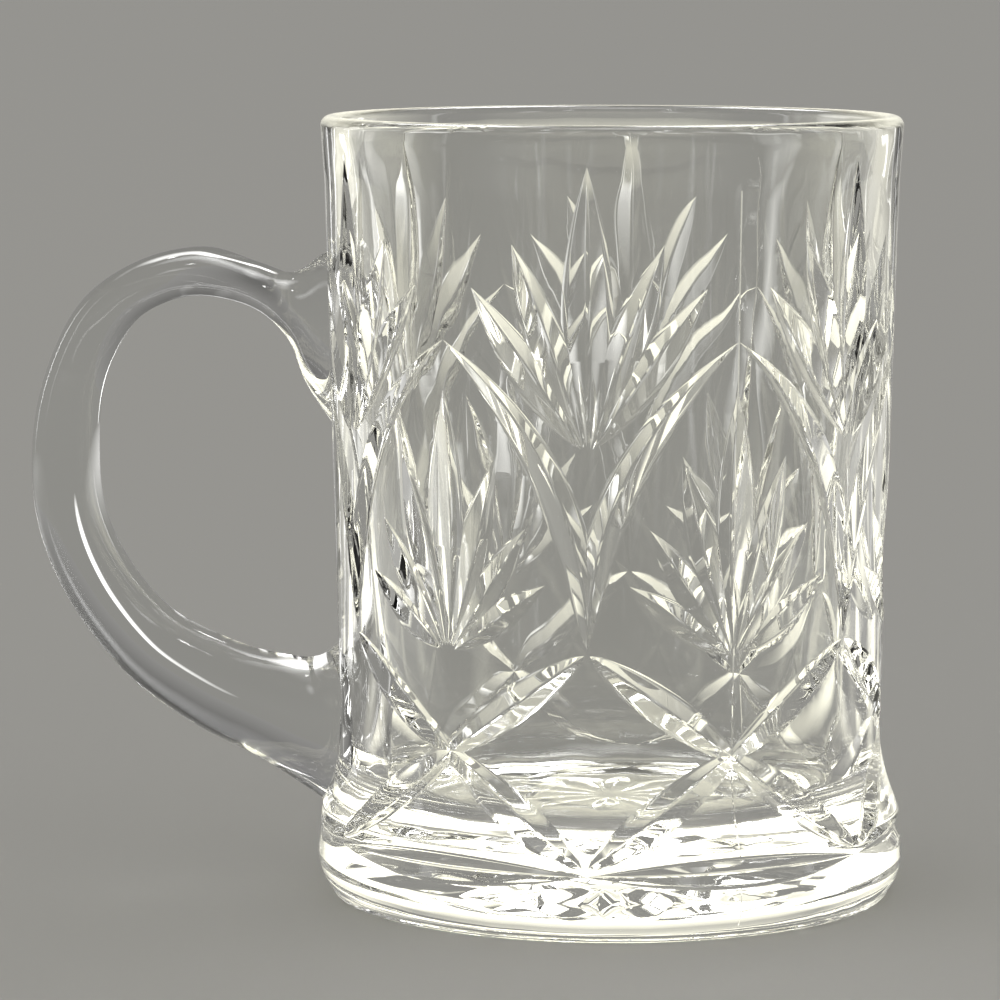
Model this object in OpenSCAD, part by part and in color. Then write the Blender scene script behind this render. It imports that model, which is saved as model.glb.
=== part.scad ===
// Half-litre beer mug of clear pressed glass: a tapered body with a pattern of mitre cuts, and a loop handle.
// It stands on z = 0 with its axis on Z. The handle lies in the XZ plane, on the -X side.
// Angles around the mug are measured from the handle's side, so 0 degrees is -X.

/* [Body] */
// Height from the table to the top of the rim
mug_h = 125; // [118:1:135]
// Outer diameter at the rim
rim_d = 93; // [90:1:98]
// Outer diameter where the straight wall ends in the flare of the foot
waist_d = 87.2; // [84:0.2:89]
// Thickness of the rim, which is rounded to a full half circle
rim_t = 3.2; // [2.4:0.2:4]
// Height of the lip, the top stretch of wall that opens out a little more
lip_h = 10; // [6:1:14]
// Outer diameter at the lower edge of the lip
lip_d = 91.8; // [88:0.2:93]

/* [Cavity] */
// Thickness of the floor above the table
floor_t = 14; // [11:0.5:18]
// Inner diameter just above the rounded corner of the floor
floor_d = 75.2; // [70:0.2:78]
// Inner diameter at the lower edge of the lip
lip_bore_d = 84; // [80:0.2:85]
// Radius of the rounded corner between wall and floor
floor_corner_r = 7; // [3:0.5:10]

/* [Foot] */
// Largest diameter of the foot bead
foot_d = 94.6; // [92:0.2:98]
// Height of the bead's largest diameter
bead_z = 6.5; // [5:0.5:8]
// Lean of the bead's upper side towards the flare
bead_lean = 5; // [3:0.5:8]
// Radius of the bead's curve below its largest diameter
bead_r = 9; // [7:0.5:12]
// Height at which the flare of the foot starts
flare_z = 27; // [25:0.5:30]
// Radius of the hollow flare
flare_r = 30; // [26:1:34]
// How far the ring that the mug stands on lies inside the bead's largest radius
ring_inset = 2.2; // [1.8:0.1:3]
// Width of the standing ring
ring_w = 4; // [3:0.5:6]
// Height of the small step between the standing ring and the bead
ring_h = 1.2; // [0.8:0.1:1.6]
// Height of the recessed underside above the table
recess_h = 1.6; // [1:0.1:3]

/* [Pattern] */
// Number of pattern panels around the mug, the handle's own one included
panels = 6; // [5:1:6]
// Plain band between the rim and the tips of the tallest leaves
rim_band = 6.3; // [5:0.1:12]
// Length of the upper fan's leaves, from the middle one outwards
upper_leaf_len = [43.9, 34.2, 31.4];
// Lean of the upper fan's leaves from upright
upper_leaf_lean = [0, 20, 36];
// Width of the upper fan's leaves
upper_leaf_w = [7.2, 6.2, 5.4];
// Length of the lower fan's leaves, from the middle one outwards
lower_leaf_len = [41.2, 32.2, 24.5, 20.4];
// Lean of the lower fan's leaves from upright
lower_leaf_lean = [0, 16, 34, 55];
// Width of the lower fan's leaves
lower_leaf_w = [6.4, 5.4, 4.8, 4.4];
// Depth of a leaf as a share of its width
leaf_sharpness = 0.25; // [0.16:0.01:0.26]
// Height of the foot's edge, where the crosses and the boat cuts end
lattice_z = 11.6; // [10.5:0.1:13]
// Height of the band of crosses
lattice_h = 33; // [28:0.5:36]
// Width of the cuts of the crosses
cross_w = 5.2; // [4:0.1:7]
// Depth of the cuts of the crosses
cross_depth = 1.6; // [1:0.1:2]
// Height of the pointed arches above the band of crosses
arch_h = 46.8; // [40:0.2:50]
// Width of the arches' cuts
arch_w = 5.1; // [3:0.1:6]
// Depth of the arches' cuts
arch_depth = 1.4; // [0.8:0.1:1.8]
// Height of the boat cuts on the foot bead
boat_w = 4.4; // [3:0.1:5]
// Depth of the boat cuts
boat_depth = 1.2; // [0.8:0.1:1.6]
// Number of points of the star under the floor
star_points = 12; // [8:2:16]
// Radius of the plain spot in the middle of the star
star_spot_r = 2.5; // [2:0.5:6]
// Radius of the star
star_r = 20; // [14:1:30]
// Depth of the star's cuts
star_depth = 1; // [0.6:0.1:1.5]
// Width of the star's cuts
star_w = 4; // [3:0.2:4.4]

/* [Handle] */
// How far the handle stands out from the wall
grip_reach = 51; // [46:1:58]
// Height of the handle above the foot of its lower weld
grip_h = 90; // [84:1:94]
// Height of the foot of the lower weld
grip_z = 13.5; // [13:0.5:16]
// Width of the handle across its loop
grip_w = 13; // [10:0.5:16]
// Extra width of the handle where it is fused to the wall
weld_spread = 2; // [0:0.5:3]

/* [Hidden] */
$fn = 96;
glass = [0.90, 0.93, 0.90, 0.45];

rim_r = rim_d / 2;
rim_z = mug_h - rim_t / 2;
lip_z = mug_h - lip_h;
waist_r = waist_d / 2;
foot_r = foot_d / 2;
ring_r = foot_r - ring_inset;
panel = 360 / panels;

// The cutting wheels reach this far out of the wall, more at the hollow flare, and run on this far past the
// ends of a cut.
overcut = 0.4;
foot_overcut = 1.2;
run_out = 1;
// Leaves of one fan start this far from the point that they spread from.
leaf_start = 1.6;
// Cuts that run to one point stop this far short of it.
tip_gap = 1.2;
// A wheel's edge is never flatter than this rise over its cut.
least_rise = 0.05;
// Gaps between the top of the crosses, the lower fans' points and the arches' lower points
fan_drop = 1.3;
arch_gap = 0.7;
// Each side of an arch is cut in this many steps, starts this far beside its neighbour, ends this share short
// of its peak, and has its widest place moved down by this power.
arch_steps = 10;
arch_foot_gap = 1;
arch_peak_gap = 0.03;
arch_skew = 0.75;
// Plain glass that the pattern leaves beside the handle's welds
weld_margin = 1;
weld_angle = asin((grip_w + weld_spread + 2 * weld_margin) / waist_d);

lattice_top = lattice_z + lattice_h;
upper_fan_z = mug_h - rim_band - upper_leaf_len[0];
lower_fan_z = lattice_top - fan_drop;
arch_z = lattice_top + arch_gap;

// The handle's two edges from the lower weld to the upper one, as [out from the wall, up from the lower weld]
// at the drawn size. The first and last points lie inside the wall.
drawn_reach = 51;
drawn_h = 90;
outer_edge = [[0.5, -2], [7, 2.5], [14.5, 7], [24.5, 12], [35, 19.5], [44, 30.5], [49.5, 42.5], [51, 55],
              [49, 68], [43, 80.5], [33.5, 87.5], [22.5, 90], [13.5, 87.5], [8, 86], [3, 89], [-1.5, 91.5]];
inner_edge = [[-1.5, 28], [4, 23.5], [12, 24], [20, 26.5], [28.5, 31], [35, 38.5], [39, 47], [40, 56.5],
              [39, 68], [34.5, 77], [28.5, 81], [22, 82], [14, 80], [8.5, 75], [5.5, 67.5], [-1.5, 57.5]];
grip_steps = 3;
grip_sides = 20;

// Outer radius of the uncut wall at a height
function flare_at(z) = waist_r + flare_r - sqrt(flare_r ^ 2 - (flare_z - z) ^ 2);
function bead_at(z) = foot_r - (z - bead_z) * tan(bead_lean);
function wall_at(z) =
    z > flare_z ? lookup(z, [[flare_z, waist_r], [lip_z, lip_d / 2], [rim_z, rim_r]])
    : min(flare_at(z), bead_at(z));

// Point of the wall at an angle from the handle's side and a height
function radial(a) = [-cos(a), -sin(a), 0];
function on_wall(p) = wall_at(p[1]) * radial(p[0]) + [0, 0, p[1]];
function unit(v) = v / norm(v);
function between(a, b, t) = a + (b - a) * t;

// Wall point reached from a start point by a distance at a lean from upright
function step_on_wall(p, distance, lean) =
    let (z = p[1] + distance * cos(lean))
    [p[0] + distance * sin(lean) / wall_at(z) * 180 / PI, z];

// Smooth curve through a list of points, with a number of steps between each two
function curve_at(p, i, t) =
    let (a = p[max(i - 1, 0)], b = p[i], c = p[i + 1], d = p[min(i + 2, len(p) - 1)])
    b + (c - a) * t / 2 + (2 * a - 5 * b + 4 * c - d) * t ^ 2 / 2 + (3 * b - a - 3 * c + d) * t ^ 3 / 2;
function curve(p, steps) =
    [for (i = [0 : len(p) - 2], k = [0 : steps - 1]) curve_at(p, i, k / steps), p[len(p) - 1]];

// Outline of the full body without its hollow, from the axis outwards
module envelope_outline() {
    polygon([[0, flare_z], [waist_r, flare_z], [lip_d / 2, lip_z], [rim_r, rim_z], [0, rim_z]]);
    difference() {
        polygon([[0, bead_z], [foot_r, bead_z], [bead_at(flare_z), flare_z], [0, flare_z]]);
        translate([waist_r + flare_r, flare_z]) circle(flare_r);
    }
    translate([0, ring_h]) square([foot_r - bead_r, bead_z - ring_h]);
    intersection() {
        translate([foot_r - bead_r, ring_h]) square([bead_r, bead_z - ring_h]);
        translate([foot_r - bead_r, bead_z]) circle(bead_r);
    }
    square([ring_r, ring_h]);
}

// Outline of the drinking space: rounded floor corner, straight wall, opening lip
module cavity_outline() {
    floor_r = floor_d / 2;
    corner_z = floor_t + floor_corner_r;
    polygon([[0, corner_z], [floor_r, corner_z], [lip_bore_d / 2, lip_z], [rim_r - rim_t, rim_z], [0, rim_z]]);
    translate([0, floor_t]) square([floor_r - floor_corner_r, floor_corner_r]);
    intersection() {
        translate([floor_r - floor_corner_r, floor_t]) square(floor_corner_r);
        translate([floor_r - floor_corner_r, corner_z]) circle(floor_corner_r);
    }
}

module body_blank() {
    rotate_extrude() {
        difference() {
            envelope_outline();
            cavity_outline();
            square([ring_r - ring_w, recess_h]);
        }
        intersection() {
            translate([rim_r - rim_t / 2, rim_z]) circle(rim_t / 2);
            translate([rim_r - rim_t, rim_z]) square(rim_t);
        }
    }
}

// Ring of triangular section that cuts one mitre: its edge meets the surface at its two ends, is deepest
// halfway, and the cut opens to the given width there. The ring lies in the plane of its ends and of outward.
module wheel(from, to, surface_mid, outward, depth, width, reach = overcut) {
    chord_mid = (from + to) / 2;
    along = unit(to - from);
    out = unit(outward - (outward * along) * along);
    half = norm(to - from) / 2;
    rise = (surface_mid - chord_mid) * out - depth;
    bend = abs(rise) < least_rise ? least_rise : rise;
    side = sign(bend);
    edge_r = (half ^ 2 + bend ^ 2) / (2 * abs(bend));
    centre = chord_mid + (bend - side * edge_r) * out;
    height = depth + reach;
    spread = height * width / (2 * depth);
    sweep = 2 * asin(half / edge_r) + 2 * asin(run_out / edge_r);
    axes = [along, side * out, cross(along, side * out)];
    multmatrix([for (i = [0 : 2]) [axes[0][i], axes[1][i], axes[2][i], centre[i]]])
        rotate(90 - sweep / 2)
            rotate_extrude(angle = sweep)
                polygon([[edge_r, 0], [edge_r + side * height, -spread], [edge_r + side * height, spread]]);
}

// Mitre cut between two points of the wall
module mitre(a, b, depth, width, reach = overcut) {
    middle = (a + b) / 2;
    wheel(on_wall(a), on_wall(b), on_wall(middle), radial(middle[0]), depth, width, reach);
}

// Fan of leaves that spreads upwards from a point of the wall, mirrored about its middle leaf
module fan(at, lengths, leans, widths) {
    for (i = [0 : len(lengths) - 1], side = i == 0 ? [1] : [-1, 1])
        mitre(step_on_wall(at, leaf_start, side * leans[i]), step_on_wall(at, lengths[i], side * leans[i]),
              widths[i] * leaf_sharpness, widths[i]);
}

module upper_fans() {
    for (k = [0 : panels - 1])
        fan([(k + 0.5) * panel, upper_fan_z], upper_leaf_len, upper_leaf_lean, upper_leaf_w);
}

module lower_fans() {
    for (k = [1 : panels - 1])
        fan([k * panel, lower_fan_z], lower_leaf_len, lower_leaf_lean, lower_leaf_w);
}

// Each side of an arch is an arc on the unrolled wall that starts upright at its foot and covers half a panel.
arch_span = wall_at(arch_z + arch_h) * panel / 2 * PI / 180;
arch_r = (arch_span ^ 2 + arch_h ^ 2) / (2 * arch_span);
arch_turn = 2 * atan(arch_span / arch_h);
function arch_point(foot, side, share) =
    let (turn = share * arch_turn)
    [foot[0] + side * arch_r * (1 - cos(turn)) / arch_span * panel / 2, foot[1] + arch_r * sin(turn)];

// Share of its length at which an arch's side has come this angle nearer to its peak
function arch_share(angle) = acos(1 - angle / (panel / 2) * arch_span / arch_r) / arch_turn;

// One side of an arch, up to a share of its full length: a groove of triangular section that follows the wall
module arch_side(foot, side, share) {
    function section(i) =
        let (t = i / arch_steps,
             here = arch_point(foot, side, share * t),
             next = arch_point(foot, side, share * t + share / arch_steps ^ 3),
             out = radial(here[0]),
             across = unit(cross(out, on_wall(next) - on_wall(here))),
             depth = arch_depth * 4 * t ^ arch_skew * (1 - t ^ arch_skew),
             half = (depth + overcut) * arch_w / arch_depth / 2)
        [on_wall(here) - depth * out, on_wall(here) + overcut * out + half * across,
         on_wall(here) + overcut * out - half * across];
    last = 3 * arch_steps;
    skin = [for (i = [0 : 3 : last - 3], k = [0 : 2])
                let (a = i + k, b = i + (k + 1) % 3)
                each [[a, a + 3, b + 3], [a, b + 3, b]]];
    polyhedron([for (i = [0 : arch_steps]) each section(i)],
               concat(skin, [[0, 1, 2], [last + 2, last + 1, last]]));
}

// Pointed arches over the lower fans. The one at the handle stops beside the upper weld.
module arches() {
    for (k = [0 : panels - 1], side = [-1, 1])
        arch_side([(k - side / 2) * panel + side * arch_foot_gap, arch_z], side,
                  k == 0 ? arch_share(panel / 2 - weld_angle) : 1 - arch_peak_gap);
}

// Band of crosses above the foot, each of four arms that run from its middle
module crosses() {
    for (k = [1 : panels - 1], side = [-1, 1]) {
        top = [(k - side / 2) * panel, lattice_top];
        low = [(k + side / 2) * panel, lattice_z];
        gap = tip_gap / norm(on_wall(low) - on_wall(top));
        mitre(between(top, low, gap), between(top, low, 0.5 - gap), cross_depth, cross_w);
        mitre(between(top, low, 0.5 + gap), between(top, low, 1 - gap), cross_depth, cross_w, foot_overcut);
    }
}

// Boat-shaped cuts around the foot bead, from one cross to the next
module boats() {
    for (k = [1 : panels - 1]) {
        half = panel / 2 - asin(tip_gap / foot_r);
        mitre([k * panel - half, lattice_z], [k * panel + half, lattice_z], boat_depth, boat_w, foot_overcut);
    }
}

// Star cut into the recessed underside
module star() {
    for (i = [0 : star_points - 1]) {
        from = star_spot_r * radial(i * 360 / star_points) + [0, 0, recess_h];
        to = star_r * radial(i * 360 / star_points) + [0, 0, recess_h];
        wheel(from, to, (from + to) / 2, [0, 0, -1], star_depth, star_w);
    }
}

module mug_body() {
    color(glass) difference() {
        difference() {
            body_blank();
            upper_fans();
            lower_fans();
        }
        crosses();
        boats();
        arches();
        star();
    }
}

// Loop of oval section between its outer and inner edge. It widens only close to its ends, by this power of
// the distance from its middle.
spread_power = 6;
module handle_rod() {
    place = [grip_reach / drawn_reach, grip_h / drawn_h];
    outer = curve(outer_edge, grip_steps);
    inner = curve(inner_edge, grip_steps);
    last = len(outer) - 1;
    function ring_point(i, k) =
        let (turn = 360 * k / grip_sides,
             middle = (outer[i] + inner[i]) / 2,
             reach = middle + (outer[i] - inner[i]) / 2 * cos(turn),
             width = grip_w + weld_spread * abs(2 * i / last - 1) ^ spread_power)
        [-waist_r - reach[0] * place[0], sin(turn) * width / 2, grip_z + reach[1] * place[1]];
    points = [for (i = [0 : last], k = [0 : grip_sides - 1]) ring_point(i, k)];
    skin = [for (i = [0 : last - 1], k = [0 : grip_sides - 1])
                let (a = i * grip_sides + k, b = i * grip_sides + (k + 1) % grip_sides)
                each [[a, b, b + grip_sides], [a, b + grip_sides, a + grip_sides]]];
    cap = [for (k = [0 : grip_sides - 1]) k];
    caps = [[for (k = cap) grip_sides - 1 - k], [for (k = cap) last * grip_sides + k]];
    polyhedron(points, concat(skin, caps));
}

module handle() {
    color(glass) difference() {
        handle_rod();
        rotate_extrude() envelope_outline();
    }
}

mug_body();
handle();
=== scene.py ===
import math

import bmesh
import bpy
from mathutils import Matrix, Vector
from mathutils.geometry import intersect_line_sphere_2d


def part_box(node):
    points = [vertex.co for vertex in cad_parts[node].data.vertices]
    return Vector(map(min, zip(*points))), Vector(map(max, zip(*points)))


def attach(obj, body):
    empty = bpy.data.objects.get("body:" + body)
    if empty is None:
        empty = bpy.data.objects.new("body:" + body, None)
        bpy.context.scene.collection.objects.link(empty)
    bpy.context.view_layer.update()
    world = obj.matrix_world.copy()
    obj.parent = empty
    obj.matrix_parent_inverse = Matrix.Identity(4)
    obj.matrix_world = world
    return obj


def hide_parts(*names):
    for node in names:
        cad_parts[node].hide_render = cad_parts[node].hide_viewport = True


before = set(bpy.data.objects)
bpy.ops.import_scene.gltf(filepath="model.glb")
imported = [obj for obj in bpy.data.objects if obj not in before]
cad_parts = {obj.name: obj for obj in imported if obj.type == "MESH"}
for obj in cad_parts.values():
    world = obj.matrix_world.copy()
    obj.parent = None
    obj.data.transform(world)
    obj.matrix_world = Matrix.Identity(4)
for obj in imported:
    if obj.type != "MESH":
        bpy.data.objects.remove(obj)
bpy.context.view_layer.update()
scene = bpy.context.scene
scene.view_settings.view_transform = "Standard"

# Camera: a long lens about three quarters of a metre from the mug and a little above its rim. It looks
# slightly down, turned a few degrees towards the handle's side, with the handle on the left.
view_turn = math.radians(6.0)
view_drop = math.radians(6.82)
view_distance = 0.7455
view_shift = -0.01785
view_height = 0.1522
view_lens = 167.7
film_w = 36
view_ahead = Vector((-math.sin(view_turn), math.cos(view_turn), 0))
view_right = Vector((math.cos(view_turn), math.sin(view_turn), 0))

camera_data = bpy.data.cameras.new("camera")
camera_data.lens = view_lens
camera_data.sensor_width = film_w
camera = bpy.data.objects.new("camera", camera_data)
camera.location = view_shift * view_right - view_distance * view_ahead + Vector((0, 0, view_height))
camera.rotation_euler = (math.pi / 2 - view_drop, 0, view_turn)
scene.collection.objects.link(camera)
scene.camera = camera

# Mug body: one pressing of clear glass, formed by a plunger in a three-part mould. It has a thick floor, a
# wall that opens slightly towards a rounded rim, and a flared foot with a bead that stands on a narrow ring.
mm = 0.001
body_low, body_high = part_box("mug_body")
mug_h = body_high.z
foot_r = (body_high.y - body_low.y) / 2
rim_r = 46.5 * mm
rim_t = 3.2 * mm
rim_z = mug_h - rim_t / 2
lip_z = mug_h - 10 * mm
lip_r = 45.9 * mm
lip_bore_r = 42 * mm
waist_r = 43.6 * mm
floor_z = 14 * mm
floor_r = 37.6 * mm
floor_corner_r = 7 * mm
flare_z = 27 * mm
flare_r = 30 * mm
bead_z = 6.5 * mm
bead_r = 9 * mm
bead_lean = math.radians(5)
ring_r = 45.1 * mm
ring_w = 4 * mm
ring_h = 1.2 * mm
recess_z = 1.6 * mm
polish_r = 0.4 * mm
step_polish_r = 0.15 * mm
# Steps of the rounded corners, of each arc and around the mug, and the length of a step along the outer wall
polish_steps = 5
bead_steps = 8
flare_steps = 8
rim_steps = 24
floor_corner_steps = 16
turn_steps = 240
wall_step = 1.6 * mm
outside_r = lip_bore_r + 1 * mm
merge_gap = 0.001 * mm


def arc(centre, radius, first, last, steps):
    """Points of an arc in the plane of radius and height, between two angles"""
    angles = [first + (last - first) * i / steps for i in range(steps + 1)]
    return [(centre[0] + radius * math.cos(a), centre[1] + radius * math.sin(a)) for a in angles]


bead_middle = (foot_r - bead_r, bead_z)
flare_middle = (waist_r + flare_r, flare_z)
bead_top = (foot_r - (flare_z - bead_z) * math.tan(bead_lean), flare_z)
foot_crossings = intersect_line_sphere_2d((foot_r, bead_z), bead_top, flare_middle, flare_r)
foot_edge = next(crossing for crossing in foot_crossings if crossing)
bead_start = -math.asin((bead_z - ring_h) / bead_r)
flare_start = math.pi + math.asin((flare_z - foot_edge.y) / flare_r)
floor_corner_middle = (floor_r - floor_corner_r, floor_z + floor_corner_r)

# The outline runs from the axis under the foot up the outer wall, over the rim and down to the floor.
outline = [(0, recess_z), (ring_r - ring_w, recess_z), (ring_r - ring_w, 0), (ring_r, 0), (ring_r, ring_h)]
ring_corners = (1, 2, 3)
step_corners = (4, 5)
outline += arc(bead_middle, bead_r, bead_start, 0, bead_steps)
foot_corner = len(outline)
outline += arc(flare_middle, flare_r, flare_start, math.pi, flare_steps)
outline += [(lip_r, lip_z)]
outline += arc((rim_r - rim_t / 2, rim_z), rim_t / 2, 0, math.pi, rim_steps)
outline += [(lip_bore_r, lip_z)]
outline += arc(floor_corner_middle, floor_corner_r, 0, -math.pi / 2, floor_corner_steps)
outline += [(0, floor_z)]


def new_object(name, bm):
    """Object of a finished bmesh, at the origin"""
    mesh = bpy.data.meshes.new(name)
    bm.to_mesh(mesh)
    bm.free()
    piece = bpy.data.objects.new(name, mesh)
    scene.collection.objects.link(piece)
    return piece


bm = bmesh.new()
corners = [bm.verts.new((r, 0, z)) for r, z in outline]
for lower, upper in zip(corners, corners[1:]):
    bm.edges.new((lower, upper))
for places, radius in ((ring_corners, polish_r), (step_corners, step_polish_r), ((foot_corner,), polish_r)):
    bmesh.ops.bevel(bm, geom=[corners[i] for i in places], offset=radius, offset_type="OFFSET",
                    affect="VERTICES", segments=polish_steps, profile=0.5, material=-1)
for edge in [e for e in bm.edges if min(v.co.x for v in e.verts) > outside_r]:
    cuts = round(edge.calc_length() / wall_step) - 1
    if cuts > 0:
        bmesh.ops.subdivide_edges(bm, edges=[edge], cuts=cuts)
bmesh.ops.spin(bm, geom=bm.verts[:] + bm.edges[:], cent=(0, 0, 0), axis=(0, 0, 1), angle=math.tau,
               steps=turn_steps, use_merge=True)
bmesh.ops.remove_doubles(bm, verts=bm.verts, dist=merge_gap)
bmesh.ops.recalc_face_normals(bm, faces=bm.faces)
body = new_object("mug_body_glass", bm)

# Cut pattern: mitre grooves of triangular section in the pressing, like those of a cutting wheel. They are
# deepest along the middle and run out to points at both ends. Angles are measured from the handle's side.
panels = 6
panel = math.tau / panels
cut_steps = 26
cut_lift = 0.6 * mm
cut_spread = cut_lift / 4
least_cut = 0.02 * mm
height_nudge = 0.05 * mm
path_nudge = 0.001
# Half of the groove's section from its shoulder to its bottom, as shares of its half width and its depth. The
# shoulder and the bottom are rounded by fire polishing.
groove_half = [(1.15, 0.02), (1.0, -0.05), (0.9, -0.115), (0.8, -0.2), (0.2, -0.8), (0.1, -0.88), (0, -0.92)]
groove_section = groove_half + [(-u, h) for u, h in reversed(groove_half[:-1])]


def wall_radius(z):
    """Radius of the outer wall, without its pattern, at a height"""
    if z >= lip_z:
        return lip_r + (rim_r - lip_r) * (z - lip_z) / (rim_z - lip_z)
    if z >= flare_z:
        return waist_r + (lip_r - waist_r) * (z - flare_z) / (lip_z - flare_z)
    if z >= foot_edge.y:
        return flare_middle[0] - math.sqrt(flare_r ** 2 - (flare_z - z) ** 2)
    if z >= bead_z:
        return foot_r - (z - bead_z) * math.tan(bead_lean)
    return bead_middle[0] + math.sqrt(bead_r ** 2 - (bead_z - z) ** 2)


def wall(place, lift=0):
    """Point over the outer wall, from its angle and height on the wall and how far it stands off"""
    angle, z = place
    slope = (wall_radius(z + height_nudge) - wall_radius(z - height_nudge)) / (2 * height_nudge)
    out = Vector((-math.cos(angle), -math.sin(angle), -slope)).normalized()
    r = wall_radius(z)
    return Vector((-r * math.cos(angle), -r * math.sin(angle), z)) + lift * out


def wall_stretch(place):
    """Length on the wall of one radian at a place"""
    return wall_radius(place[1])


def straight(start, end):
    """Path between two places of a surface"""
    return lambda t: (start[0] + (end[0] - start[0]) * t, start[1] + (end[1] - start[1]) * t)


def unit_bar(sides, steps):
    """Upright bar of unit radius and unit height about the origin, with its long edges cut into steps"""
    bar = bmesh.new()
    bmesh.ops.create_cone(bar, cap_ends=True, segments=sides, radius1=1, radius2=1, depth=1)
    long_edges = [e for e in bar.edges if abs(e.verts[0].co.z - e.verts[1].co.z) > 0.5]
    bmesh.ops.subdivide_edges(bar, edges=long_edges, cuts=steps - 1)
    return bar


def bent_bar(name, bar):
    """Object of a bar that was bent to its place, with its faces turned outwards"""
    if bar.calc_volume(signed=True) < 0:
        bmesh.ops.reverse_faces(bar, faces=bar.faces)
    return new_object(name, bar)


def groove(path, depth, width, skew=1.0, fullness=1.0, surface=wall, stretch=wall_stretch):
    """Cutter of one mitre groove: a bar of the groove's section, bent along the path from t = 0 to t = 1"""
    sides = len(groove_section) + 2
    bar = unit_bar(sides, cut_steps)
    for vert in bar.verts:
        t = min(max(vert.co.z + 0.5, 0), 1)
        corner = round(math.atan2(vert.co.x, vert.co.y) / math.tau * sides) % sides
        here, behind, ahead = Vector(path(t)), path(t - path_nudge), path(t + path_nudge)
        metres = stretch(here)
        along = Vector(((ahead[0] - behind[0]) * metres, ahead[1] - behind[1])).normalized()
        local_depth = max(depth * (4 * t ** skew * (1 - t ** skew)) ** fullness, least_cut)
        half = local_depth * width / depth / 2
        if corner < len(groove_section):
            u, h = groove_section[corner]
            aside, lift = u * half, h * local_depth
        else:
            side = -1 if corner == len(groove_section) else 1
            aside, lift = side * (groove_section[0][0] * half + cut_spread), cut_lift
        vert.co = surface(here + aside * Vector((along.y / metres, -along.x)), lift)
    return bent_bar("groove", bar)


# Mould seams: where the three parts of the mould meet, a hair-fine ridge runs down the wall. The grooves cut
# through the two that show, and the third lies behind the handle, which was fused over it.
mould_parts = 3
seam_w = 0.5 * mm
seam_h = 0.1 * mm
seam_low = ring_h + 1 * mm
seam_steps = 61
seams = []
for k in range(1, mould_parts):
    seam = unit_bar(3, seam_steps)
    for vert in seam.verts:
        z = seam_low + (vert.co.z + 0.5) * (lip_z - seam_low)
        crest = vert.co.y > 0.5
        aside = 0 if crest else math.copysign(seam_w / 2, vert.co.x)
        lift = seam_h if crest else -seam_h
        vert.co = wall((k * math.tau / mould_parts + aside / wall_radius(z), z), lift)
    seams.append(bent_bar("seam", seam))

# Fans of leaves: upper fans of five leaves stand under the rim, between the lower fans of seven leaves. The
# handle's own panel has no lower fan. Leaves are given from the middle one outwards.
leaf_start = 1.6 * mm
leaf_depth = 0.25
leaf_skew = 0.9
upper_fan_z = mug_h - 50.2 * mm
upper_lengths = (43.9, 34.2, 31.4)
upper_leans = (0, 20, 36)
upper_widths = (7.2, 6.2, 5.4)
lower_fan_z = 43.3 * mm
lower_lengths = (41.2, 32.2, 24.5, 20.4)
lower_leans = (0, 16, 34, 55)
lower_widths = (6.4, 5.4, 4.8, 4.4)


def fan(angle, z, lengths, leans, widths):
    """Cutters of a fan that spreads upwards from one point, mirrored about its middle leaf. Lengths and
    widths are in millimetres and leans in degrees."""
    leaves = []
    for length, lean, width in zip(lengths, leans, widths):
        for side in ([0] if lean == 0 else [-1, 1]):
            rise = math.cos(math.radians(lean))
            drift = side * math.sin(math.radians(lean))
            ends = []
            for reach in (leaf_start, length * mm):
                top = z + reach * rise
                ends.append((angle + reach * drift / wall_radius(top), top))
            leaves.append(groove(straight(*ends), width * mm * leaf_depth, width * mm, leaf_skew))
    return leaves


cutters = []
for k in range(panels):
    cutters += fan((k + 0.5) * panel, upper_fan_z, upper_lengths, upper_leans, upper_widths)
for k in range(1, panels):
    cutters += fan(k * panel, lower_fan_z, lower_lengths, lower_leans, lower_widths)

# Pointed arches frame the lower fans. Each side is an arc on the unrolled wall, upright at its foot, and ends
# just short of the tip. The arch over the handle stops beside the upper weld.
arch_z = 45.3 * mm
arch_h = 46.8 * mm
arch_depth = 1.4 * mm
arch_w = 5.1 * mm
arch_skew = 0.75
arch_share = 0.997
arch_span = wall_radius(arch_z + arch_h) * panel / 2
arch_r = (arch_span ** 2 + arch_h ** 2) / (2 * arch_span)
arch_turn = 2 * math.atan(arch_span / arch_h)
weld_side = math.radians(11.2)
handle_share = math.acos(1 - (panel / 2 - weld_side) / (panel / 2) * arch_span / arch_r) / arch_turn


def arch_side(angle, side, share):
    """Path of one side of an arch, up to a share of its length"""
    def path(t):
        turn = t * share * arch_turn
        aside = side * arch_r * (1 - math.cos(turn)) / arch_span * panel / 2
        return (angle + aside, arch_z + arch_r * math.sin(turn))
    return path


for k in range(panels):
    for side in (-1, 1):
        share = handle_share if k == 0 else arch_share
        cutters.append(groove(arch_side((k - side / 2) * panel, side, share), arch_depth, arch_w, arch_skew))

# Crosses of four leaf-shaped arms stand on the foot's edge below the lower fans, and a boat-shaped cut runs
# along the bead from one cross to the next.
lattice_low = 11.6 * mm
lattice_top = 44.6 * mm
cross_w = 5.2 * mm
cross_depth = 1.6 * mm
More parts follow.
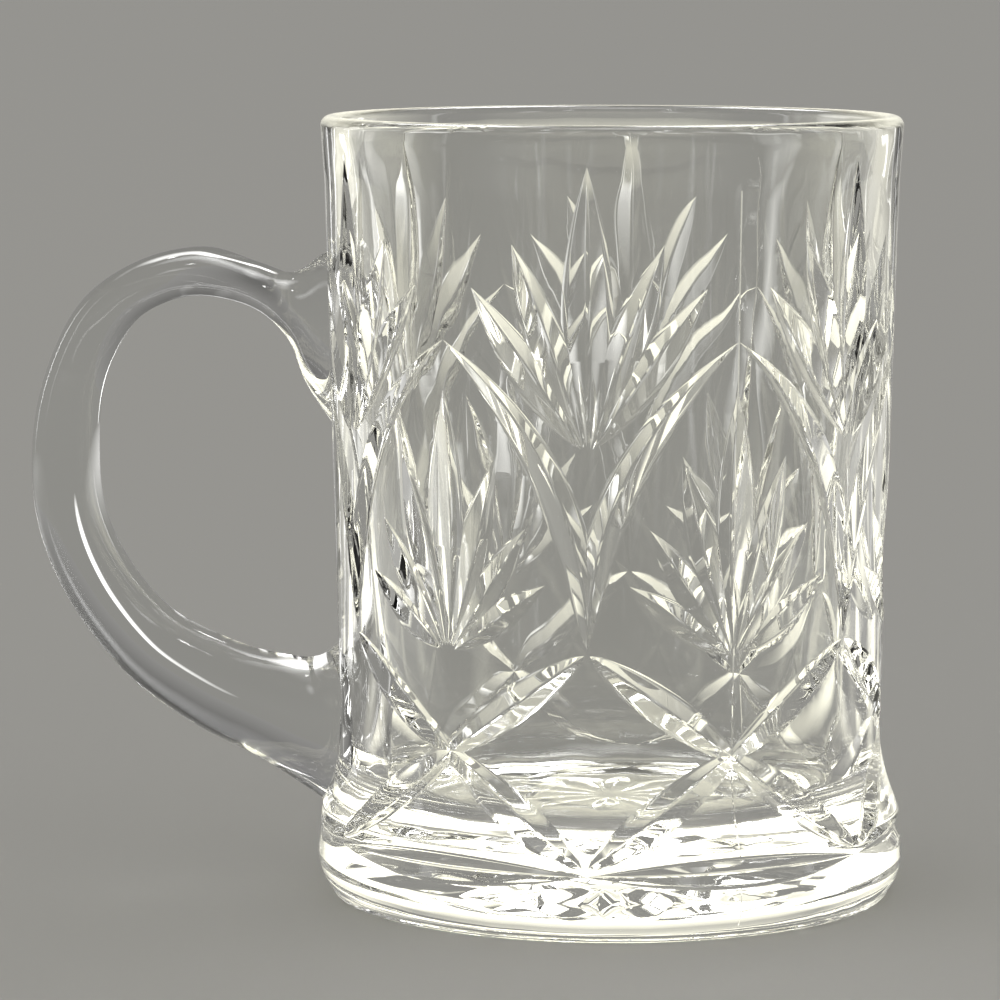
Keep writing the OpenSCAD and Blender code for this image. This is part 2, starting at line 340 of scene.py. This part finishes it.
# Start and end of the upper and the lower arm, as shares of the cross's line, and how full the arm is
cross_arms = ((0.01, 0.52, 0.7), (0.48, 0.99, 0.6))
boat_w = 4.4 * mm
boat_depth = 1.2 * mm
boat_z = lattice_low - 1 * mm
boat_reach = 0.49
for k in range(1, panels):
    for side in (-1, 1):
        top = ((k - side / 2) * panel, lattice_top)
        low = ((k + side / 2) * panel, lattice_low)
        line = straight(top, low)
        for start, end, fullness in cross_arms:
            arm = straight(line(start), line(end))
            cutters.append(groove(arm, cross_depth, cross_w, fullness=fullness))
    ends = [((k + side * boat_reach) * panel, boat_z) for side in (-1, 1)]
    cutters.append(groove(straight(*ends), boat_depth, boat_w))

# Star: twelve rays in the recessed underside, pressed with the rest of the body. It shows through the clear
# floor.
star_rays = 12
star_reach = (2.5 * mm, 20 * mm)
star_w = 4 * mm
star_depth = 1 * mm


def underside(place, lift=0):
    """Point under the recessed underside"""
    return Vector((place[0], place[1], recess_z - lift))


for i in range(star_rays):
    turn = math.tau * i / star_rays
    ray = straight(*[(r * math.cos(turn), r * math.sin(turn)) for r in star_reach])
    cutters.append(groove(ray, star_depth, star_w, surface=underside, stretch=lambda place: 1))


def boolean(piece, operation, others):
    """Cuts the other objects from a piece, or joins them to it, and removes them"""
    group = bpy.data.collections.new("others")
    for other in others:
        group.objects.link(other)
    modifier = piece.modifiers.new(operation.lower(), "BOOLEAN")
    modifier.operation = operation
    modifier.operand_type = "COLLECTION"
    modifier.collection = group
    modifier.solver = "MANIFOLD"
    modifier.material_mode = "TRANSFER"
    whole = piece.evaluated_get(bpy.context.evaluated_depsgraph_get())
    mesh = bpy.data.meshes.new_from_object(whole)
    piece.modifiers.clear()
    piece.data = mesh
    for other in others:
        bpy.data.objects.remove(other)
    bpy.data.collections.remove(group)


boolean(body, "UNION", seams)
boolean(body, "DIFFERENCE", cutters)

# Handle: a gather of the same glass, drawn out, bent to a loop and fused to the hot wall at both ends. It is
# oval in section, thinnest at the top, and spreads a little where it is fused.
grip_z = 13.5 * mm
grip_w = 13 * mm
weld_spread = 2 * mm
spread_power = 6
grip_steps = 8
grip_sides = 48
# Edges of the loop from the lower weld to the upper one, in millimetres out from the waist and up from grip_z
outer_edge = [(0.5, -2), (7, 2.5), (14.5, 7), (24.5, 12), (35, 19.5), (44, 30.5), (49.5, 42.5), (51, 55),
              (49, 68), (43, 80.5), (33.5, 87.5), (22.5, 90), (13.5, 87.5), (8, 86), (3, 89), (-1.5, 91.5)]
inner_edge = [(-1.5, 28), (4, 23.5), (12, 24), (20, 26.5), (28.5, 31), (35, 38.5), (39, 47), (40, 56.5),
              (39, 68), (34.5, 77), (28.5, 81), (22, 82), (14, 80), (8.5, 75), (5.5, 67.5), (-1.5, 57.5)]


def smooth_curve(points, steps):
    """Curve through the points, with a number of steps between each two"""
    points = [Vector(p) for p in points]
    curve = []
    for i in range(len(points) - 1):
        a, b, c = points[max(i - 1, 0)], points[i], points[i + 1]
        d = points[min(i + 2, len(points) - 1)]
        for k in range(steps):
            t = k / steps
            square = (2 * a - 5 * b + 4 * c - d) * t ** 2
            cube = (3 * b - a - 3 * c + d) * t ** 3
            curve.append(b + ((c - a) * t + square + cube) / 2)
    return curve + [points[-1]]


bm = bmesh.new()
outer = smooth_curve(outer_edge, grip_steps)
inner = smooth_curve(inner_edge, grip_steps)
last = len(outer) - 1
rings = []
for i, (out, back) in enumerate(zip(outer, inner)):
    middle = (out + back) / 2
    reach = (out - back) / 2
    width = grip_w + weld_spread * abs(2 * i / last - 1) ** spread_power
    columns = (Vector((-reach.x * mm, 0, reach.y * mm)), Vector((0, width / 2, 0)), Vector((0, 0, 0)))
    place = Matrix([[c[row] for c in columns] + [0] for row in range(3)] + [[0, 0, 0, 1]])
    place.translation = (-waist_r - middle.x * mm, 0, grip_z + middle.y * mm)
    ring = bmesh.ops.create_circle(bm, segments=grip_sides, radius=1)["verts"]
    bmesh.ops.transform(bm, matrix=place, verts=ring)
    rings.append(list(dict.fromkeys(edge for vert in ring for edge in vert.link_edges)))
for near, far in zip(rings, rings[1:]):
    bmesh.ops.bridge_loops(bm, edges=near + far)
for end in (rings[0], rings[-1]):
    bmesh.ops.contextual_create(bm, geom=end)
bmesh.ops.recalc_face_normals(bm, faces=bm.faces)
handle = new_object("handle_glass", bm)

# Clear glass, fire polished: the pressing leaves faint ripples in the surface, longer up the wall than across
# it, and thick glass has a slight warm tint.
glass_ior = 1.52
glass_tint = (0.982, 0.982, 0.962, 1)
ripple_scale = 110
ripple_stretch = (1, 1, 0.4)
ripple_detail = 1
ripple_strength = 0.5
ripple_depth = 0.3 * mm


def clear_glass():
    """Material of both pieces"""
    material = bpy.data.materials.new("clear_glass")
    material.use_nodes = True
    nodes, links = material.node_tree.nodes, material.node_tree.links
    shader = nodes["Principled BSDF"]
    shader.inputs["Transmission Weight"].default_value = 1
    shader.inputs["Roughness"].default_value = 0.0
    shader.inputs["IOR"].default_value = glass_ior
    shader.inputs["Base Color"].default_value = glass_tint
    place = nodes.new("ShaderNodeTexCoord")
    stretch = nodes.new("ShaderNodeMapping")
    stretch.inputs["Scale"].default_value = ripple_stretch
    ripple = nodes.new("ShaderNodeTexNoise")
    ripple.inputs["Scale"].default_value = ripple_scale
    ripple.inputs["Detail"].default_value = ripple_detail
    bump = nodes.new("ShaderNodeBump")
    bump.inputs["Strength"].default_value = ripple_strength
    bump.inputs["Distance"].default_value = ripple_depth
    links.new(place.outputs["Object"], stretch.inputs["Vector"])
    links.new(stretch.outputs["Vector"], ripple.inputs["Vector"])
    links.new(ripple.outputs["Fac"], bump.inputs["Height"])
    links.new(bump.outputs["Normal"], shader.inputs["Normal"])
    return material


glass = clear_glass()
handle_mark = bpy.data.materials.new("handle_mark")
body.data.materials.clear()
body.data.materials.append(glass)
handle.data.materials.append(handle_mark)

# Welds: handle and body are fused, so light passes from one to the other unbent. The two are joined along
# their common outline, parted there again, and each end is closed by a face that lets light straight through.
fused_joint = bpy.data.materials.new("fused_joint")
fused_joint.use_nodes = True
joint_nodes = fused_joint.node_tree.nodes
joint_nodes.remove(joint_nodes["Principled BSDF"])
see_through = joint_nodes.new("ShaderNodeBsdfTransparent")
fused_joint.node_tree.links.new(see_through.outputs["BSDF"], joint_nodes["Material Output"].inputs["Surface"])
body_crease = math.radians(10)
handle_crease = math.radians(30)
sliver = 0.0005 * mm


def part_piece(whole, keep_handle, name, crease):
    """The handle's or the body's share of the fused glass, closed at the welds"""
    bm = bmesh.new()
    bm.from_mesh(whole)
    mark = [m.name if m else "" for m in whole.materials].index("handle_mark")
    gone = [f for f in bm.faces if (f.material_index == mark) != keep_handle]
    bmesh.ops.delete(bm, geom=gone, context="FACES")
    for face in bm.faces:
        face.material_index = 0
    open_edges = [e for e in bm.edges if e.is_boundary]
    closed = bmesh.ops.holes_fill(bm, edges=open_edges, sides=0)["faces"]
    for face in closed:
        face.material_index = 1
    bmesh.ops.triangulate(bm, faces=[f for f in bm.faces if len(f.verts) > 4])
    bmesh.ops.dissolve_degenerate(bm, dist=sliver, edges=bm.edges)
    chips = [f for f in bm.faces if not any(e.is_manifold for e in f.edges)]
    bmesh.ops.delete(bm, geom=chips, context="FACES")
    piece = new_object(name, bm)
    piece.data.materials.append(glass)
    piece.data.materials.append(fused_joint)
    piece.data.shade_smooth()
    piece.data.set_sharp_from_angle(angle=crease)
    return piece


boolean(body, "UNION", [handle])
fused = body.data
bpy.data.objects.remove(body)
body = part_piece(fused, False, "mug_body_glass", body_crease)
handle = part_piece(fused, True, "handle_glass", handle_crease)
for piece, node in ((body, "mug_body"), (handle, "handle")):
    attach(piece, "root")
    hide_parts(node)

# Studio floor: a plain pale grey floor that runs out of sight. It is lit as a matt surface, and the glass
# shows it in one even grey.
floor_reach = 30
floor_sides = 96
floor_roughness = 0.9
backdrop_grey = (0.60, 0.594, 0.565, 1)
seen_grey = (0.275, 0.272, 0.258, 1)

bm = bmesh.new()
bmesh.ops.create_circle(bm, cap_ends=True, segments=floor_sides, radius=floor_reach)
studio_floor = new_object("studio_floor", bm)
floor_material = bpy.data.materials.new("pale_floor")
floor_material.use_nodes = True
floor_nodes, floor_links = floor_material.node_tree.nodes, floor_material.node_tree.links
floor_shader = floor_nodes["Principled BSDF"]
floor_shader.inputs["Base Color"].default_value = backdrop_grey
floor_shader.inputs["Roughness"].default_value = floor_roughness
floor_ray = floor_nodes.new("ShaderNodeLightPath")
seen_floor = floor_nodes.new("ShaderNodeEmission")
seen_floor.inputs["Color"].default_value = seen_grey
either_floor = floor_nodes.new("ShaderNodeMixShader")
in_glass = floor_nodes.new("ShaderNodeMath")
in_glass.operation = "MAXIMUM"
floor_links.new(floor_ray.outputs["Is Transmission Ray"], in_glass.inputs[0])
floor_links.new(floor_ray.outputs["Is Glossy Ray"], in_glass.inputs[1])
floor_links.new(in_glass.outputs["Value"], either_floor.inputs["Fac"])
floor_links.new(floor_shader.outputs["BSDF"], either_floor.inputs[1])
floor_links.new(seen_floor.outputs["Emission"], either_floor.inputs[2])
floor_links.new(either_floor.outputs["Shader"], floor_nodes["Material Output"].inputs["Surface"])
studio_floor.data.materials.append(floor_material)

# Studio lamps: soft boxes that light the glass alone. The strips that lie on the floor show in the cuts as
# thin bright lines, the cards beside them brighten the sides of the wall, the large boxes behind and ahead of
# the mug brighten its foot, and the tall ones above it draw white lines along the rim.
on_floor = 0.005
warm = (1, 0.975, 0.8)
strip_size = (0.025, 0.9)
close_strip_size = (0.03, 0.26)
far_strip_size = (0.07, 3.2)


def lit_group(name, *pieces):
    """Collection of the pieces that a lamp lights"""
    group = bpy.data.collections.new(name)
    for piece in pieces:
        group.objects.link(piece)
    return group


def soft_light(name, lit, angle, distance, height, size, brightness, colour=(1, 1, 1)):
    """Soft box, brightest in its middle, at an angle around the mug from straight behind it. It is turned to
    the mug, or lies flat if it is on the floor."""
    turn = view_turn - math.radians(angle)
    place = Vector((-math.sin(turn) * distance, math.cos(turn) * distance, height))
    data = bpy.data.lights.new(name, "AREA")
    data.shape = "RECTANGLE"
    data.size, data.size_y = size
    data.energy = brightness * math.pi * size[0] * size[1]
    data.color = colour
    data.use_nodes = True
    nodes, links = data.node_tree.nodes, data.node_tree.links
    across = nodes.new("ShaderNodeNewGeometry")
    centred = nodes.new("ShaderNodeMapping")
    centred.inputs["Location"].default_value = (-1, -1, 0)
    centred.inputs["Scale"].default_value = (2, 2, 0)
    falloff = nodes.new("ShaderNodeTexGradient")
    falloff.gradient_type = "SPHERICAL"
    links.new(across.outputs["Parametric"], centred.inputs["Vector"])
    links.new(centred.outputs["Vector"], falloff.inputs["Vector"])
    links.new(falloff.outputs["Fac"], nodes["Emission"].inputs["Strength"])
    lamp = bpy.data.objects.new(name, data)
    lamp.location = place
    if height <= on_floor:
        lamp.rotation_euler = (math.pi, 0, turn)
    else:
        lamp.rotation_euler = (Vector((0, 0, mug_h / 2)) - place).to_track_quat("-Z", "Y").to_euler()
    lamp.visible_camera = False
    lamp.light_linking.receiver_collection = lit
    scene.collection.objects.link(lamp)


both_pieces = lit_group("both_pieces", body, handle)
body_alone = lit_group("body_alone", body)
handle_alone = lit_group("handle_alone", handle)
for side, share in ((-1, 1.5), (1, 0.75)):
    soft_light("near_card", body_alone, side * 62, 0.5, on_floor, (0.5, 0.9), 0.6 * share)
    soft_light("far_card", body_alone, side * 40, 0.9, on_floor, (0.4, 1.5), 0.8 * share, warm)
    soft_light("front_card", body_alone, side * 138, 0.55, on_floor, (0.6, 1.0), 0.3)
    for angle, brightness in ((9, 0.6), (17, 0.6), (30, 2.4), (38, 2.4), (50, 2.4)):
        soft_light("near_strip", body_alone, side * angle, 0.6, on_floor, strip_size, brightness * share)
        soft_light("front_strip", body_alone, side * (180 - angle), 0.6, on_floor, strip_size, brightness)
    for angle, brightness in ((36, 2.6), (52, 2.6), (70, 1.4), (128, 1.2)):
        soft_light("close_strip", body_alone, side * angle, 0.18, on_floor, close_strip_size,
                   brightness * share, warm)
    for angle, brightness in ((8, 0.6), (13, 0.8), (26, 2.2), (34, 2.2)):
        soft_light("far_strip", body_alone, side * angle, 2.2, on_floor, far_strip_size, brightness * share)
    soft_light("side_strip", both_pieces, side * 95, 0.9, 0.4, (0.1, 0.8), 4)
    soft_light("side_glow", body_alone, side * 60, 1.0, 0.32, (1.5, 0.9), 3, warm)
    soft_light("handle_strip", handle_alone, side * 55, 0.9, 0.25, (0.08, 0.6), 8)
for angle, width in ((-27, 0.5), (16, 0.4)):
    soft_light("rim_lamp", body_alone, angle, 0.8, 1.15, (width, 0.8), 20)
soft_light("glow_below", body_alone, 0, 0, 0.0004, (0.079, 0.079), 0.08, warm)
soft_light("behind", body_alone, 0, 1.3, 0.7, (5.0, 1.6), 2.6, warm)
soft_light("ahead", body_alone, 180, 1.3, 0.7, (5.0, 1.6), 1.8, warm)
soft_light("handle_top", handle_alone, 0, 0.2, 1.0, (1.2, 0.5), 8)
soft_light("handle_below", handle_alone, -90, 0.14, on_floor, (0.035, 0.3), 4)
soft_light("handle_card", handle_alone, -70, 0.6, on_floor, (0.7, 0.8), 0.75)
soft_light("handle_line", handle_alone, -20, 0.35, on_floor, (0.05, 0.3), 3)
soft_light("front_left", both_pieces, -150, 0.9, 0.7, (0.2, 0.4), 4)
soft_light("front_right", both_pieces, 140, 0.9, 0.8, (0.2, 0.4), 4)
soft_light("overhead", both_pieces, 180, 0.05, 1.0, (0.6, 0.6), 4)
for angle, distance, height in ((-35, 0.8, 1.2), (28, 0.9, 1.3), (-140, 0.6, 1.2), (155, 0.7, 1.1)):
    soft_light("ceiling_light", both_pieces, angle, distance, height, (0.12, 0.12), 30)

# World: it lights the floor evenly. The camera and the glass see it as a grey that darkens from the horizon
# upwards.
world_tint = (1, 0.99, 0.97, 1)
world_light = 0.52
horizon_seen = 0.28
zenith_seen = 0.08
darkest_from = 0.5
glass_bounces = 24
mirror_bounces = 12

world = bpy.data.worlds.new("studio")
world.use_nodes = True
world_nodes, world_links = world.node_tree.nodes, world.node_tree.links
background = world_nodes["Background"]
background.inputs["Color"].default_value = world_tint
ray = world_nodes.new("ShaderNodeLightPath")
seen = world_nodes.new("ShaderNodeMath")
seen.operation = "MAXIMUM"
through = world_nodes.new("ShaderNodeMath")
through.operation = "MAXIMUM"
sky = world_nodes.new("ShaderNodeTexCoord")
sky_axes = world_nodes.new("ShaderNodeSeparateXYZ")
seen_sky = world_nodes.new("ShaderNodeMapRange")
seen_sky.inputs["From Max"].default_value = darkest_from
seen_sky.inputs["To Min"].default_value = horizon_seen
seen_sky.inputs["To Max"].default_value = zenith_seen
world_links.new(sky.outputs["Generated"], sky_axes.inputs["Vector"])
world_links.new(sky_axes.outputs["Z"], seen_sky.inputs["Value"])
strength = world_nodes.new("ShaderNodeMapRange")
strength.inputs["To Min"].default_value = world_light
world_links.new(seen_sky.outputs["Result"], strength.inputs["To Max"])
world_links.new(ray.outputs["Is Camera Ray"], seen.inputs[0])
world_links.new(ray.outputs["Is Glossy Ray"], seen.inputs[1])
world_links.new(seen.outputs["Value"], through.inputs[0])
world_links.new(ray.outputs["Is Transmission Ray"], through.inputs[1])
world_links.new(through.outputs["Value"], strength.inputs["Value"])
world_links.new(strength.outputs["Result"], background.inputs["Strength"])
scene.world = world
scene.cycles.max_bounces = glass_bounces
scene.cycles.transmission_bounces = glass_bounces
scene.cycles.glossy_bounces = mirror_bounces
